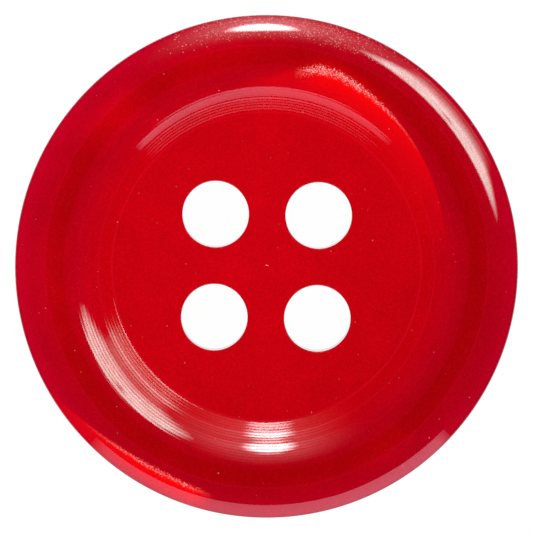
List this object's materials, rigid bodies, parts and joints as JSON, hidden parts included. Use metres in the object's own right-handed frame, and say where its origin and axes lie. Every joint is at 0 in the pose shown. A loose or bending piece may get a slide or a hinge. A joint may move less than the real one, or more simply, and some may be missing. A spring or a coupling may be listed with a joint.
{
  "type": "sewing button",
  "caption": "Round glossy red resin sewing button with a raised rolled rim, a dished centre and sew-through holes, for closing a garment.",
  "frame": {"origin": "centre of the flat back, on the surface that the button lies on", "axes": "+Z out of the face along the turning axis, +X and +Y along the two rows of holes, with +Y towards the top of the picture"},
  "size_m": [0.02, 0.02, 0.0032],
  "materials": {
    "resin": "pearl red polyester resin, turned and polished"
  },
  "bodies": {
    "root": {"button": "resin"}
  },
  "joints": []
}
